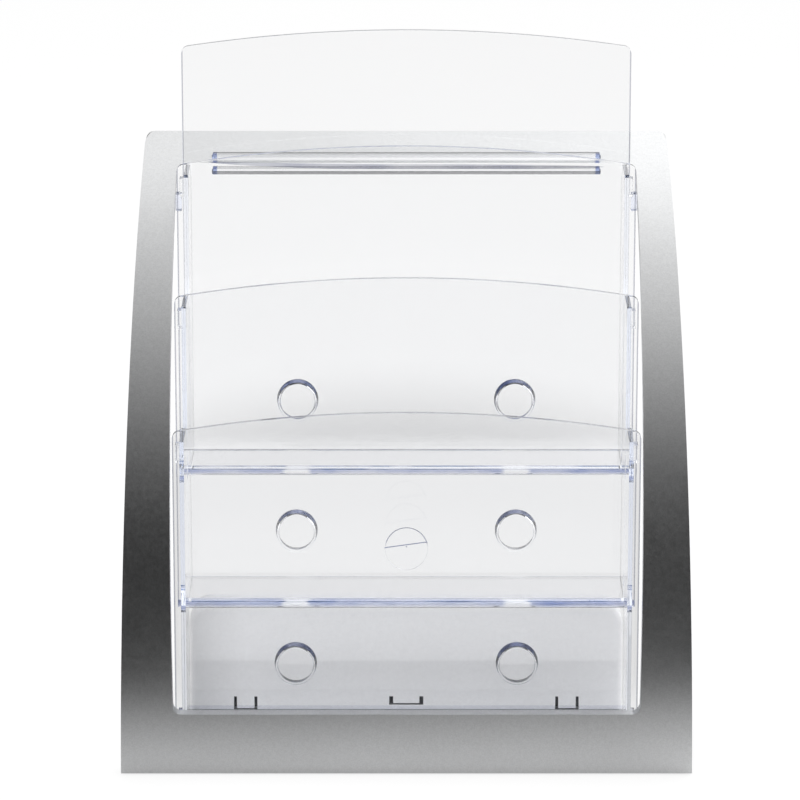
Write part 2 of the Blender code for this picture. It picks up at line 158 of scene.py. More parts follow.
def boolean(ob, other, op):
    for o in (ob, other):
        if o.name not in scene.objects:
            scene.collection.objects.link(o)
    md = ob.modifiers.new("bool", 'BOOLEAN')
    md.operation = op
    md.solver = 'EXACT'
    md.object = other
    bpy.context.view_layer.update()
    dg = bpy.context.evaluated_depsgraph_get()
    me = bpy.data.meshes.new_from_object(ob.evaluated_get(dg))
    ob.modifiers.clear()
    old = ob.data
    ob.data = me
    bpy.data.meshes.remove(old)
    bpy.data.objects.remove(other, do_unlink=True)
    return ob


def shear(ob):
    m = Matrix.Identity(4)
    m[1][2] = tan(LEAN)
    ob.data.transform(m)


def corner(cx, cz, r, a0, a1, steps=ROUND_STEPS):
    return [(cx + r * cos(a0 + (a1 - a0) * i / steps),
             cz + r * sin(a0 + (a1 - a0) * i / steps)) for i in range(steps + 1)]


def arched_outline(half, corner_h, crown, r, steps=CROWN_STEPS, z0=0.0):
    big = (half * half + crown * crown) / (2 * crown)
    oz = corner_h + crown - big
    cx = half - r
    cz = oz + sqrt((big - r) ** 2 - cx * cx)
    a_in = atan2(cz - oz, cx)
    pts = [(-half, z0), (half, z0)]
    pts += corner(cx, cz, r, 0.0, a_in)
    a_l = pi - a_in
    pts += [(big * cos(a_in + (a_l - a_in) * i / steps),
             oz + big * sin(a_in + (a_l - a_in) * i / steps)) for i in range(1, steps)]
    pts += corner(-cx, cz, r, a_l, pi)
    return pts


def frame_outline(grow):
    h0 = FR_WIDTH / 2 + grow
    top = FR_TOP + grow
    r = max(FR_CORNER + grow, 1.0 * MM)
    k = FR_NARROW / 2
    ht = h0 - k * top
    z0 = -grow if grow < 0 else 0.0
    a = asin(k)
    pts = [(-(h0 - k * z0), z0), (h0 - k * z0, z0)]
    pts += corner(ht - r, top - r, r, a, pi / 2)
    pts += corner(-(ht - r), top - r, r, pi / 2, pi - a)
    return pts


def opening_outline(grow):
    hb = OP_HALF + OP_WIDEN * OP_BOTTOM + grow
    ht = OP_HALF + OP_WIDEN * OP_TOP + grow
    r = OP_CORNER + grow
    z0, z1 = OP_BOTTOM - grow, OP_TOP + grow
    pts = corner(hb - r, z0 + r, r, -pi / 2, 0.0)
    pts += corner(ht - r, z1 - r, r, 0.0, pi / 2)
    pts += corner(-(ht - r), z1 - r, r, pi / 2, pi)
    pts += corner(-(hb - r), z0 + r, r, pi, 1.5 * pi)
    return pts


def arc_band(r_out, r_in, a_lo, a_hi, steps=ARC_STEPS):
    pts = []
    for r, order in ((r_out, range(steps + 1)), (r_in, range(steps, -1, -1))):
        for i in order:
            a = a_lo + (a_hi - a_lo) * i / steps
            pts.append((FR_RADIUS - r * cos(a), r * sin(a)))
    return pts


def put(ob, name, mat, body, nodes, loc=(0, 0, 0), bevel=0.3, segs=3, angle=35,
        keep_crisp=None, crown_blue=0.3):
    """Name, place, soften and hand one finished piece to its CAD body."""
    clean(ob.data, 2e-6)
    bm = bmesh.new()
    bm.from_mesh(ob.data)
    bmesh.ops.dissolve_limit(bm, angle_limit=radians(0.2), verts=bm.verts, edges=bm.edges)
    weight = bm.edges.layers.float.new("bevel_weight_edge")
    for e in bm.edges:
        if len(e.link_faces) == 2 and e.calc_face_angle() > radians(angle):
            mid = (e.verts[0].co + e.verts[1].co) / 2
            e[weight] = 0.0 if keep_crisp and keep_crisp(mid) else 1.0
    bm.to_mesh(ob.data)
    bm.free()
    ob.name = name
    ob.data.name = name
    ob.data.transform(Matrix.Translation((loc[0], loc[1] + Y_SHIFT, loc[2])))
    ob.location = (0, 0, 0)
    if ob.name not in scene.objects:
        scene.collection.objects.link(ob)
    ob.data.materials.clear()
    ob.data.materials.append(mat)
    ob.data.shade_smooth()
    ob.data.set_sharp_from_angle(angle=radians(28))
    if bevel:
        md = ob.modifiers.new("edge", 'BEVEL')
        md.width = bevel * MM
        md.segments = segs
        md.limit_method = 'WEIGHT'
        md.use_clamp_overlap = True
        md.harden_normals = False
        md.miter_outer = 'MITER_ARC'
    rim = ob.data.attributes.new("rim", 'FLOAT', 'FACE')
    # inner: faces that look onto another wall within 8.5 mm, where a material can paint shade
    inner = ob.data.attributes.new("inner", 'FLOAT', 'FACE')
    tree = BVHTree.FromPolygons([v.co for v in ob.data.vertices],
                                [tuple(q.vertices) for q in ob.data.polygons])
    top_z = max(v.co.z for v in ob.data.vertices)
    for poly in ob.data.polygons:
        loop = [ob.data.vertices[v].co for v in poly.vertices]
        girth = sum((loop[i] - loop[i - 1]).length for i in range(len(loop)))
        narrow = 2 * poly.area / girth < 1.9 * MM
        hit = tree.ray_cast(poly.center + poly.normal * 0.05 * MM, poly.normal, 8.5 * MM)
        inner.data[poly.index].value = 1.0 if hit[0] is not None else 0.0
        crown = poly.normal.z > 0.7 and poly.center.z > top_z - 14 * MM
        rim.data[poly.index].value = (crown_blue if crown else 1.0) if narrow else 0.0
    wn = ob.modifiers.new("flat_faces", 'WEIGHTED_NORMAL')
    wn.mode = 'FACE_AREA'
    wn.weight = 100
    wn.keep_sharp = True
    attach(ob, body)
    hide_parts(*nodes)
    return ob


# -------------------------------------------------------------------- materials
def nodes_of(mat):
    mat.use_nodes = True
    nt = mat.node_tree
    return nt, nt.nodes, nt.links


def math_node(nt, op, a, b=None, clamp=False):
    n = nt.nodes.new("ShaderNodeMath")
    n.operation = op
    n.use_clamp = clamp
    for i, v in enumerate((a, b)):
        if v is None:
            continue
        if isinstance(v, (int, float)):
            n.inputs[i].default_value = v
        else:
            nt.links.new(v, n.inputs[i])
    return n.outputs[0]


def noise(nt, coord, scale, detail=4.0, rough=0.55):
    n = nt.nodes.new("ShaderNodeTexNoise")
    n.inputs["Scale"].default_value = scale
    n.inputs["Detail"].default_value = detail
    n.inputs["Roughness"].default_value = rough
    nt.links.new(coord, n.inputs["Vector"])
    return n.outputs["Fac"]


def remap(nt, val, lo, hi, a=0.35, b=0.65):
    n = nt.nodes.new("ShaderNodeMapRange")
    n.inputs["From Min"].default_value = a
    n.inputs["From Max"].default_value = b
    n.inputs["To Min"].default_value = lo
    n.inputs["To Max"].default_value = hi
    nt.links.new(val, n.inputs["Value"])
    return n.outputs["Result"]


def satin_silver(name, base, rough, grain=1.0, metal=1.0, painted_cavity_shade=0.0, painted_light_ramp=None):
    """Silver lacquer: metal flake grain, slow roughness drift, rubbed edges with a painted highlight; optionally
    painted shade in hollows and a painted light ramp.
    """
    mat = bpy.data.materials.new(name)
    nt, nodes, links = nodes_of(mat)
    b = nodes["Principled BSDF"]
    tc = nodes.new("ShaderNodeTexCoord").outputs["Object"]
    flake = noise(nt, tc, 1500.0, 2.0, 0.6)
    fine = noise(nt, tc, 520.0, 3.0, 0.6)
    slow = noise(nt, tc, 14.0, 4.0, 0.5)
    mix = math_node(nt, 'ADD', math_node(nt, 'MULTIPLY', flake, 0.6), math_node(nt, 'MULTIPLY', fine, 0.4))
    tone = remap(nt, mix, 1.0 - 0.07 * grain, 1.0 + 0.07 * grain, 0.38, 0.62)
    if painted_light_ramp:
        # painted light: paler towards its foot and darker towards its top, evening out the light that falls on the
        # moulding
        z = nodes.new("ShaderNodeSeparateXYZ")
        links.new(tc, z.inputs[0])
        tone = math_node(nt, 'MULTIPLY', tone, remap(nt, z.outputs["Z"], painted_light_ramp[2], painted_light_ramp[3], painted_light_ramp[0], painted_light_ramp[1]))
    col = nodes.new("ShaderNodeVectorMath")
    col.operation = 'SCALE'
    col.inputs[0].default_value = base
    links.new(tone, col.inputs["Scale"])
    # edge wear and a painted highlight: lighter where the rounded-normal differs from the true one
    bev = nodes.new("ShaderNodeBevel")
    bev.samples = 4
    bev.inputs["Radius"].default_value = 0.7 * MM
    geo = nodes.new("ShaderNodeNewGeometry")
    dot = nodes.new("ShaderNodeVectorMath")
    dot.operation = 'DOT_PRODUCT'
    links.new(bev.outputs["Normal"], dot.inputs[0])
    links.new(geo.outputs["Normal"], dot.inputs[1])
    edge = math_node(nt, 'SUBTRACT', 1.0, dot.outputs["Value"], True)
    edge = math_node(nt, 'MULTIPLY', math_node(nt, 'MULTIPLY', edge, 2.5, True), remap(nt, slow, 0.1, 0.9))
    cm = nodes.new("ShaderNodeMix")
    cm.data_type = 'RGBA'
    links.new(edge, cm.inputs["Factor"])
    links.new(col.outputs["Vector"], cm.inputs["A"])
    cm.inputs["B"].default_value = (base[0] * 1.18, base[1] * 1.18, base[2] * 1.18, 1.0)
    # painted shade: faces that look onto a nearby wall, as in the riser's cavity and slots, are painted near black
    if painted_cavity_shade:
        ins = nodes.new("ShaderNodeAttribute")
        ins.attribute_name = "inner"
        dk = nodes.new("ShaderNodeMix")
        dk.data_type = 'RGBA'
        links.new(math_node(nt, 'MULTIPLY', ins.outputs["Fac"], painted_cavity_shade), dk.inputs["Factor"])
        links.new(cm.outputs["Result"], dk.inputs["A"])
        dk.inputs["B"].default_value = (0.03, 0.03, 0.035, 1.0)
        links.new(dk.outputs["Result"], b.inputs["Base Color"])
    else:
        links.new(cm.outputs["Result"], b.inputs["Base Color"])
    b.inputs["Metallic"].default_value = metal
    r = math_node(nt, 'ADD', remap(nt, slow, rough - 0.02, rough + 0.02), remap(nt, fine, -0.03, 0.03))
    links.new(r, b.inputs["Roughness"])
    bump = nodes.new("ShaderNodeBump")
    bump.inputs["Strength"].default_value = 0.10 * grain
    bump.inputs["Distance"].default_value = 0.00008
    links.new(flake, bump.inputs["Height"])
    links.new(bump.outputs["Normal"], b.inputs["Normal"])
    return mat


def clear_plastic(name, tint=(0.30, 0.50, 0.95), density=3.5, edge=(0.17, 0.23, 0.50),
                  line_z=None, rib_z=None, back_z=None, boss_z=None, gate_z=None,
                  side_x=None):
    """Clear styrene: near-smooth skin with faint moulding ripple, blue in long paths, and painted shade marks."""
    mat = bpy.data.materials.new(name)
    nt, nodes, links = nodes_of(mat)
    b = nodes["Principled BSDF"]
    out = nodes["Material Output"]
    tc = nodes.new("ShaderNodeTexCoord").outputs["Object"]
    rim = nodes.new("ShaderNodeAttribute")
    rim.attribute_name = "rim"
    amount = math_node(nt, 'MULTIPLY', rim.outputs["Fac"], remap(nt, noise(nt, tc, 55.0, 2.0), 0.55, 0.95))
    sp = nodes.new("ShaderNodeSeparateXYZ")
    links.new(tc, sp.inputs[0])
    gn = nodes.new("ShaderNodeSeparateXYZ")
    geo = nodes.new("ShaderNodeNewGeometry")
    links.new(geo.outputs["True Normal"], gn.inputs[0])
    upright = math_node(nt, 'GREATER_THAN', math_node(nt, 'ABSOLUTE', gn.outputs["Y"]), 0.5)
    leaving = math_node(nt, 'MULTIPLY', geo.outputs["Backfacing"], upright)
    # the long edges catch the blue unevenly
    side = math_node(nt, 'GREATER_THAN', math_node(nt, 'ABSOLUTE', sp.outputs["X"]), 100.0 * MM)
    blot = remap(nt, noise(nt, tc, 62.0, 2.0, 0.4), -0.92, 0.0, 0.50, 0.60)
    amount = math_node(nt, 'MULTIPLY', amount,
                       math_node(nt, 'ADD', 1.0, math_node(nt, 'MULTIPLY', side, blot)))
    dark = []
    if line_z is not None:
        # the foot of the panel pipes light along its length and shows the blue of the plastic
        low = math_node(nt, 'MULTIPLY', math_node(nt, 'LESS_THAN', sp.outputs["Z"], line_z + 1.45 * MM),
                        math_node(nt, 'GREATER_THAN', sp.outputs["Z"], line_z - 1.15 * MM))
        facing = math_node(nt, 'LESS_THAN', gn.outputs["Y"], -0.5)
        wave = remap(nt, noise(nt, tc, 24.0, 2.0), 0.55, 1.0)
        foot = math_node(nt, 'MULTIPLY', math_node(nt, 'MULTIPLY', low, facing), wave)
        # the blue thins out below each boss and between them
        ax = math_node(nt, 'ABSOLUTE', sp.outputs["X"])
        off = math_node(nt, 'ABSOLUTE', math_node(nt, 'SUBTRACT', ax, BOSS_X))
        gap = remap(nt, off, 0.12, 1.0, 5.5 * MM, 8.0 * MM)
        mid = remap(nt, ax, 0.85, 1.0, 36.0 * MM, 38.0 * MM)
        foot = math_node(nt, 'MULTIPLY', foot, math_node(nt, 'MULTIPLY', gap, mid))
        amount = math_node(nt, 'MAXIMUM', amount, foot)
        # a dark hairline where the foot meets the floor
        top = math_node(nt, 'GREATER_THAN', sp.outputs["Z"], line_z + 0.85 * MM)
        hair = math_node(nt, 'MULTIPLY', math_node(nt, 'MULTIPLY', low, facing), top)
        hair = math_node(nt, 'MULTIPLY', hair, remap(nt, noise(nt, tc, 36.0, 2.0), 0.35, 1.0, 0.42, 0.58))
        hair = math_node(nt, 'MULTIPLY', hair, remap(nt, off, 0.3, 1.0, 4.5 * MM, 6.5 * MM))
        dark.append(hair)
    if back_z is not None:
        low = math_node(nt, 'LESS_THAN', sp.outputs["Z"], back_z)
        base_line = math_node(nt, 'MULTIPLY', math_node(nt, 'MULTIPLY', low, leaving), 0.32)
        amount = math_node(nt, 'MAXIMUM', amount, base_line)
    if rib_z is not None:
        end = math_node(nt, 'GREATER_THAN', math_node(nt, 'ABSOLUTE', sp.outputs["X"]), RIB_HALF - 2.2 * MM)
        high = math_node(nt, 'GREATER_THAN', sp.outputs["Z"], rib_z)
        # how far behind the leaning panel's front face the point lies
        deep = math_node(nt, 'SUBTRACT', math_node(nt, 'SUBTRACT', sp.outputs["Y"], Y_SHIFT + P_Y + 2 * TIER_D + DEPTH),
                         math_node(nt, 'MULTIPLY', math_node(nt, 'SUBTRACT', sp.outputs["Z"],
                                                             P_Z + 2 * TIER_H + FOOT_T), tan(LEAN)))
        back = math_node(nt, 'GREATER_THAN', deep, WALL + 0.3 * MM)
        inb = math_node(nt, 'LESS_THAN', math_node(nt, 'ABSOLUTE', sp.outputs["X"]), RIB_HALF + 0.1 * MM)
        tip = math_node(nt, 'MULTIPLY', math_node(nt, 'MULTIPLY', end, high), math_node(nt, 'MULTIPLY', back, inb))
        low = math_node(nt, 'LESS_THAN', sp.outputs["Z"], rib_z + 12 * MM)
        amount = math_node(nt, 'MAXIMUM', amount, math_node(nt, 'MULTIPLY', tip, low))
        # painted shade: a dark crescent between the ribs stands in for the shaded underside of the surround's lip
        xn = math_node(nt, 'DIVIDE', sp.outputs["X"], RIB_HALF + 2 * MM)
        x2 = math_node(nt, 'MULTIPLY', xn, xn)
        thick = math_node(nt, 'MULTIPLY', math_node(nt, 'SQRT', math_node(nt, 'MAXIMUM', math_node(nt, 'SUBTRACT', 1.0, x2), 0.0)),
                          1.35 * MM)
        left = math_node(nt, 'LESS_THAN', xn, 0.0)
        rise = math_node(nt, 'MULTIPLY', math_node(nt, 'MULTIPLY', x2, left), 2.4 * MM)
        mid_z = math_node(nt, 'ADD', rise, RIB_Z_LOW + FOOT_T + RIB_T + 1.2 * MM)
        away = math_node(nt, 'ABSOLUTE', math_node(nt, 'SUBTRACT', sp.outputs["Z"], mid_z))
        painted_lip_shade = math_node(nt, 'LESS_THAN', away, thick)
        flatb = math_node(nt, 'LESS_THAN', deep, WALL + 0.3 * MM)
        painted_lip_shade = math_node(nt, 'MULTIPLY', math_node(nt, 'MULTIPLY', painted_lip_shade, leaving), flatb)
        dark.append(math_node(nt, 'MULTIPLY', painted_lip_shade, remap(nt, noise(nt, tc, 40.0, 2.0), 0.50, 0.72)))
    zs = sp.outputs["Z"]
    if boss_z is not None:
        # walls of the round cups: dark blue arcs, the plastic's blue with painted shade, dark at the top and sides,
        # faint below
        ax = math_node(nt, 'ABSOLUTE', sp.outputs["X"])
        dx = math_node(nt, 'SUBTRACT', ax, BOSS_X)
        dz = math_node(nt, 'SUBTRACT', zs, boss_z)
        rr = math_node(nt, 'SQRT', math_node(nt, 'ADD', math_node(nt, 'MULTIPLY', dx, dx),
                                             math_node(nt, 'MULTIPLY', dz, dz)))
        near = math_node(nt, 'LESS_THAN', math_node(nt, 'ABSOLUTE', math_node(nt, 'SUBTRACT', rr, BOSS_R - 0.8 * MM)),
                         1.2 * MM)
        wall = math_node(nt, 'LESS_THAN', math_node(nt, 'ABSOLUTE', gn.outputs["Y"]), 0.55)
        up = math_node(nt, 'DIVIDE', dz, math_node(nt, 'MAXIMUM', rr, 1e-4))
        arc = math_node(nt, 'MULTIPLY', remap(nt, up, 0.25, 1.0, -0.7, 0.1), remap(nt, up, 1.0, 0.45, 0.90, 0.99))
        arc = math_node(nt, 'MULTIPLY', arc, remap(nt, noise(nt, tc, 240.0, 1.0), 0.45, 1.0, 0.40, 0.52))
        dark.append(math_node(nt, 'MULTIPLY', math_node(nt, 'MULTIPLY', near, wall), arc))
    if side_x is not None:
        # painted shade: the cut edge of a panel shows as a thin dark line
        edge_shade_line = math_node(nt, 'GREATER_THAN', math_node(nt, 'ABSOLUTE', sp.outputs["X"]), side_x - 0.65 * MM)
        edge_shade_line = math_node(nt, 'MULTIPLY', edge_shade_line,
                              math_node(nt, 'GREATER_THAN', sp.outputs["X"], side_x * -1.0 - 0.1 * MM))
        edge_shade_line = math_node(nt, 'MULTIPLY', edge_shade_line,
                              math_node(nt, 'LESS_THAN', sp.outputs["X"], side_x + 0.1 * MM))
        dark.append(math_node(nt, 'MULTIPLY', edge_shade_line, 0.42))
    if gate_z is not None:
        # the round moulding mark: a ring with painted shade, darker above, and a slanting dark line across it
        dz = math_node(nt, 'SUBTRACT', zs, gate_z)
        gx = sp.outputs["X"]
        rr = math_node(nt, 'SQRT', math_node(nt, 'ADD', math_node(nt, 'MULTIPLY', gx, gx),
                                             math_node(nt, 'MULTIPLY', dz, dz)))
        ring = math_node(nt, 'LESS_THAN', math_node(nt, 'ABSOLUTE', math_node(nt, 'SUBTRACT', rr, GATE_R)),
                         0.24 * MM)
        ring = math_node(nt, 'MULTIPLY', ring, remap(nt, dz, 0.12, 0.85, 1.0 * MM, 4.0 * MM))
        slope = math_node(nt, 'SUBTRACT', math_node(nt, 'SUBTRACT', dz, 2.0 * MM),
                          math_node(nt, 'MULTIPLY', gx, 0.136))
        cut = math_node(nt, 'LESS_THAN', math_node(nt, 'ABSOLUTE', slope), 0.25 * MM)
        cut = math_node(nt, 'MULTIPLY', cut, math_node(nt, 'LESS_THAN', rr, GATE_R + 0.4 * MM))
        mark = math_node(nt, 'MAXIMUM', ring, math_node(nt, 'MULTIPLY', cut, 0.9))
        dx = math_node(nt, 'ADD', gx, 0.0)
        ddz = math_node(nt, 'SUBTRACT', dz, 1.0 * MM)
        dot = math_node(nt, 'SQRT', math_node(nt, 'ADD', math_node(nt, 'MULTIPLY', dx, dx),
                                              math_node(nt, 'MULTIPLY', ddz, ddz)))
        mark = math_node(nt, 'MAXIMUM', mark, math_node(nt, 'MULTIPLY', math_node(nt, 'LESS_THAN', dot, 0.4 * MM), 0.7))
        rear = leaving
        high = math_node(nt, 'GREATER_THAN', zs, gate_z - 13 * MM)
        dark.append(math_node(nt, 'MULTIPLY', math_node(nt, 'MULTIPLY', mark, rear), high))
    cm = nodes.new("ShaderNodeMix")
    cm.data_type = 'RGBA'
    links.new(amount, cm.inputs["Factor"])
    # painted shade: the tray floors are painted a touch greyer than the upright panels, so they read darker
    flat = math_node(nt, 'GREATER_THAN', math_node(nt, 'ABSOLUTE', gn.outputs["Z"]), 0.8)
    base = nodes.new("ShaderNodeMix")
    base.data_type = 'RGBA'
    links.new(flat, base.inputs["Factor"])
    base.inputs["A"].default_value = (1.0, 1.0, 1.0, 1.0)
    base.inputs["B"].default_value = (0.86, 0.86, 0.87, 1.0)
    links.new(base.outputs["Result"], cm.inputs["A"])
    cm.inputs["B"].default_value = (*edge, 1.0)
    tone = cm.outputs["Result"]
    for d in dark:
        dm = nodes.new("ShaderNodeMix")
        dm.data_type = 'RGBA'
        links.new(d, dm.inputs["Factor"])
        links.new(tone, dm.inputs["A"])
        dm.inputs["B"].default_value = (0.008, 0.030, 0.14, 1.0)
        tone = dm.outputs["Result"]
    links.new(tone, b.inputs["Base Color"])
    b.inputs["Transmission Weight"].default_value = 1.0
    b.inputs["IOR"].default_value = 1.49
    slow = noise(nt, tc, 30.0, 3.0, 0.5)
    haze = noise(nt, tc, 900.0, 2.0, 0.5)
    links.new(math_node(nt, 'ADD', remap(nt, slow, 0.0, 0.012), remap(nt, haze, 0.0, 0.012)),
              b.inputs["Roughness"])
    bump = nodes.new("ShaderNodeBump")
    bump.inputs["Strength"].default_value = 0.06
    bump.inputs["Distance"].default_value = 0.0002
    links.new(slow, bump.inputs["Height"])
    links.new(bump.outputs["Normal"], b.inputs["Normal"])
    lp = nodes.new("ShaderNodeLightPath")
    tr = nodes.new("ShaderNodeBsdfTransparent")
    tr.inputs["Color"].default_value = (0.955, 0.957, 0.96, 1.0)
    mx = nodes.new("ShaderNodeMixShader")
    soft = math_node(nt, 'MAXIMUM', lp.outputs["Is Shadow Ray"], lp.outputs["Is Diffuse Ray"])
    links.new(soft, mx.inputs["Fac"])
    links.new(b.outputs["BSDF"], mx.inputs[1])
    links.new(tr.outputs["BSDF"], mx.inputs[2])
    links.new(mx.outputs["Shader"], out.inputs["Surface"])
    ab = nodes.new("ShaderNodeVolumeAbsorption")
    ab.inputs["Color"].default_value = (*tint, 1.0)
    ab.inputs["Density"].default_value = density
    links.new(ab.outputs["Volume"], out.inputs["Volume"])
    return mat


def rubber_mat(name):
    mat = bpy.data.materials.new(name)
    nt, nodes, links = nodes_of(mat)
    b = nodes["Principled BSDF"]
    tc = nodes.new("ShaderNodeTexCoord").outputs["Object"]
    n1 = noise(nt, tc, 400.0, 5.0, 0.6)
    n2 = noise(nt, tc, 60.0, 3.0, 0.5)
    ramp = nodes.new("ShaderNodeMix")
    ramp.data_type = 'RGBA'
    links.new(n2, ramp.inputs["Factor"])
    ramp.inputs["A"].default_value = (0.035, 0.035, 0.038, 1)
    ramp.inputs["B"].default_value = (0.075, 0.075, 0.078, 1)
    links.new(ramp.outputs["Result"], b.inputs["Base Color"])
    links.new(remap(nt, n1, 0.65, 0.9), b.inputs["Roughness"])
    bump = nodes.new("ShaderNodeBump")
    bump.inputs["Strength"].default_value = 0.4
    bump.inputs["Distance"].default_value = 0.0002
    links.new(n1, bump.inputs["Height"])
    links.new(bump.outputs["Normal"], b.inputs["Normal"])
    return mat


silver = satin_silver("silver_lacquer", (0.60, 0.605, 0.61), 0.33)
silver_b = satin_silver("silver_base_lacquer", (0.62, 0.625, 0.63), 0.42)
# the riser lacquer carries painted shade in its cavity and slots and a painted light ramp, paler towards its foot
silver_r = satin_silver("silver_riser_lacquer", (0.98, 0.977, 0.985), 0.45, 0.6, 0.08, 0.96,
                        (12 * MM, 62 * MM, 1.0, 0.76))
clear_l = clear_plastic("clear_lower", back_z=P_Z + FOOT_T + 3.4 * MM,
                        boss_z=P_Z + FOOT_T + BOSS_Z, gate_z=P_Z + FOOT_T + GATE_Z,
                        side_x=PANEL_HALF)
clear_m = clear_plastic("clear_middle", line_z=P_Z + TIER_H + FOOT_T,
                        boss_z=P_Z + TIER_H + FOOT_T + BOSS_Z, side_x=PANEL_HALF)
clear_u = clear_plastic("clear_upper", line_z=P_Z + 2 * TIER_H + FOOT_T, side_x=PANEL_HALF)
clear_h = clear_plastic("clear_header", rib_z=RIB_Z_LOW + FOOT_T - 0.5 * MM,
                        boss_z=P_Z + 2 * TIER_H + FOOT_T + BOSS_Z, side_x=HEAD_HALF)
clear_c = clear_plastic("clear_clip", (0.3, 0.45, 0.9), 30.0)
rubber = rubber_mat("rubber")

# -------------------------------------------------------------- curved surround
WIDE = FR_WIDTH / 2 + 20 * MM
fr = prism("fr", arc_band(FR_RADIUS, FR_RADIUS - FR_RIM, 0.0, A_TOP), WIDE, 'yz')
fr = boolean(fr, prism("outline", frame_outline(0.0), 0.4, 'xz'), 'INTERSECT')
fr = boolean(fr, prism("opening", opening_outline(0.0), 0.4, 'xz'), 'DIFFERENCE')
hollow = prism("hollow", arc_band(FR_RADIUS - FR_SKIN, FR_RADIUS - FR_RIM - 8 * MM,
                                  FR_SKIN / FR_RADIUS, A_TOP - FR_SKIN / FR_RADIUS), WIDE, 'yz')
hollow = boolean(hollow, prism("inset", frame_outline(-FR_SKIN), 0.4, 'xz'), 'INTERSECT')
hollow = boolean(hollow, prism("lip_keep", opening_outline(FR_SKIN), 0.4, 'xz'), 'DIFFERENCE')
fr = boolean(fr, hollow, 'DIFFERENCE')
trim = prism("lip_trim", arc_band(FR_RADIUS - FR_LIP, FR_RADIUS - FR_RIM - 8 * MM,
                                  0.03, A_TOP - 0.02), WIDE, 'yz')
trim = boolean(trim, prism("lip_zone", opening_outline(FR_SKIN + 1.5 * MM), 0.4, 'xz'), 'INTERSECT')
fr = boolean(fr, trim, 'DIFFERENCE')
put(fr, "surround", silver, "frame", ["front_frame"], (0, 0, FOOT_T),
    bevel=0.8, segs=4, angle=40)


# ------------------------------------------------------------------ base, riser
def rounded_rect(hx, y0, y1, r):
    p = corner(hx - r, y0 + r, r, -pi / 2, 0.0)
    p += corner(hx - r, y1 - r, r, 0.0, pi / 2)
    p += corner(-(hx - r), y1 - r, r, pi / 2, pi)
    p += corner(-(hx - r), y0 + r, r, pi, 1.5 * pi)
    return p


def slab(name, pts, z0, z1):
    ob = prism(name, pts, (z1 - z0) / 2, 'xy')
    ob.data.transform(Matrix.Translation((0, 0, (z0 + z1) / 2)))
    return ob


BASE_HALF, BASE_FRONT, BASE_REAR, TONGUE_FRONT = 112.0 * MM, 12.0 * MM, 150.0 * MM, 3.1 * MM
BASE_TOP, BASE_SKIN, BASE_R, PAD_R = 8.9 * MM, 2.5 * MM, 9.0 * MM, 8.5 * MM
base = slab("base", rounded_rect(BASE_HALF, BASE_FRONT, BASE_REAR, BASE_R), GAP, BASE_TOP)
base = boolean(base, slab("bh", rounded_rect(BASE_HALF - BASE_SKIN, BASE_FRONT + BASE_SKIN,
                                             BASE_REAR - BASE_SKIN, BASE_R - BASE_SKIN),
                          -5 * MM, BASE_TOP - BASE_SKIN), 'DIFFERENCE')
base = boolean(base, box("tongue", -(BASE_HALF - 6 * MM), BASE_HALF - 6 * MM, TONGUE_FRONT,
                         BASE_FRONT + BASE_SKIN / 2, FR_SKIN + 0.5 * MM, BASE_TOP - 0.4 * MM),
               'UNION')
for sx in (-1, 1):
    for fy in (BASE_FRONT + 13 * MM, BASE_REAR - 13 * MM):
        base = boolean(base, cone_z("pad", sx * (BASE_HALF - 14 * MM), fy, PAD_R, PAD_R, GAP,
                                    BASE_TOP - 1 * MM), 'UNION')
put(base, "base", silver_b, "frame", ["base_plate"], (0, 0, FOOT_T), bevel=0.6)


def riser_outline(inset, z0):
    h, top, r = RISER_HALF - inset, RISER_TOP - P_Z - inset, RISER_R - inset
    pts = [(-h, z0), (h, z0)]
    pts += corner(h - r, top - r, r, 0.0, pi / 2, 14)
    pts += corner(-(h - r), top - r, r, pi / 2, pi, 14)
    return pts


riser = prism("riser", riser_outline(0.0, 0.0), RISER_DEEP / 2, 'xz')
bm = bmesh.new()
bm.from_mesh(riser.data)
bmesh.ops.dissolve_limit(bm, angle_limit=radians(0.3), verts=bm.verts, edges=bm.edges)
front = min(v.co.y for v in bm.verts)
rim = [e for e in bm.edges if all(abs(v.co.y - front) < 1e-6 for v in e.verts)
       and not all(v.co.z < 1e-6 for v in e.verts)]
bmesh.ops.bevel(bm, geom=rim, offset=RISER_ROUND, segments=10, profile=0.5, affect='EDGES')
bm.to_mesh(riser.data)
bm.free()
cavity = prism("riser_cavity", riser_outline(RISER_T, -5 * MM), RISER_DEEP / 2 - RISER_T, 'xz')
riser = boolean(riser, cavity, 'DIFFERENCE')
riser.data.transform(Matrix.Translation((0, RISER_DEEP / 2, 0)))
for x, w, h, z0, t in ((-SLOT_X, SLOT_W, SLOT_H, SLOT_Z, SLOT_LINE),
                      (SLOT_X, SLOT_W, SLOT_H, SLOT_Z, SLOT_LINE),
                      (0.0, MID_SLOT_W, MID_SLOT_H, MID_SLOT_Z, 2.0 * MM)):
    u = [(x - w / 2, z0), (x + w / 2, z0), (x + w / 2, z0 + h), (x + w / 2 - t, z0 + h),
         (x + w / 2 - t, z0 + SLOT_FOOT), (x - w / 2 + t, z0 + SLOT_FOOT),
         (x - w / 2 + t, z0 + h),
         (x - w / 2, z0 + h)]
    riser = boolean(riser, prism("slot", u, 3 * MM, 'xz'), 'DIFFERENCE')
shear(riser)
put(riser, "riser", silver_r, "frame", ["riser_plate"],
    (0, P_Y + DEPTH + WALL + GAP, P_Z + FOOT_T), bevel=0.3)

for nm in ("foot_front_left", "foot_rear_left", "foot_front_right", "foot_rear_right"):
    lo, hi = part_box(nm)
    c = (lo + hi) / 2
    r = (hi.x - lo.x) / 2
    f = cone_z(nm, c.x, c.y - Y_SHIFT, r - 0.4 * MM, r, lo.z, hi.z)
    put(f, nm + "_pad", rubber, "frame", [nm], bevel=0.25)


